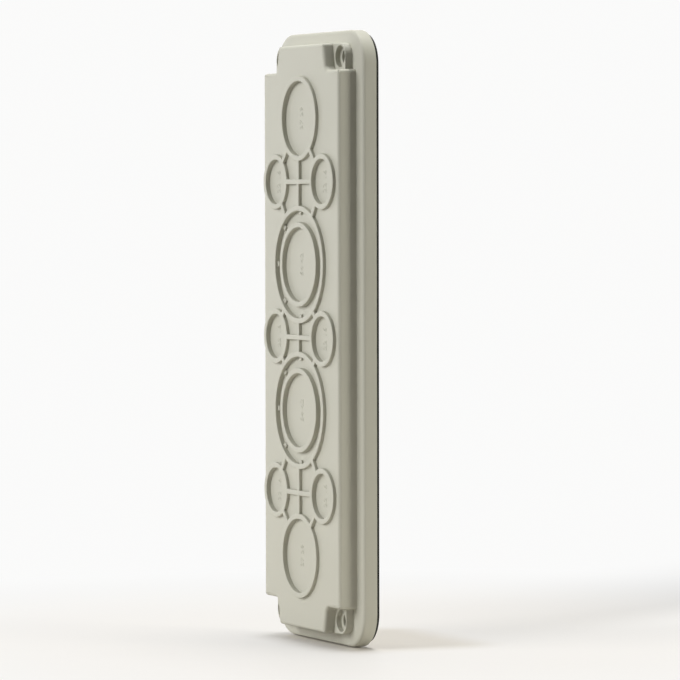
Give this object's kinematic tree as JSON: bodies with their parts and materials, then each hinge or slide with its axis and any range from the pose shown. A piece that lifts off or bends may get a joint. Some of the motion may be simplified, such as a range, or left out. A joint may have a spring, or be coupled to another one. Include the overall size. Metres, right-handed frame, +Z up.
{
  "type": "cable entry plate",
  "caption": "Long hollow plastic wall plate with round knock-outs for cable entries, screw pads in its corner notches and a soft seal behind its rim.",
  "frame": {"origin": "middle of the seal's back face, on the plane of the wall the plate is screwed to", "axes": "+Z up along the plate's length, +Y into the wall, +X across; the knock-outs face -Y"},
  "size_m": [0.1036, 0.0219, 0.313],
  "materials": {
    "plate_plastic": "warm light grey moulded plastic, fine satin grain",
    "seal_rubber": "black closed-cell foam rubber"
  },
  "bodies": {
    "root": {"entry_plate": "plate_plastic", "sealing_gasket": "seal_rubber"}
  },
  "joints": []
}
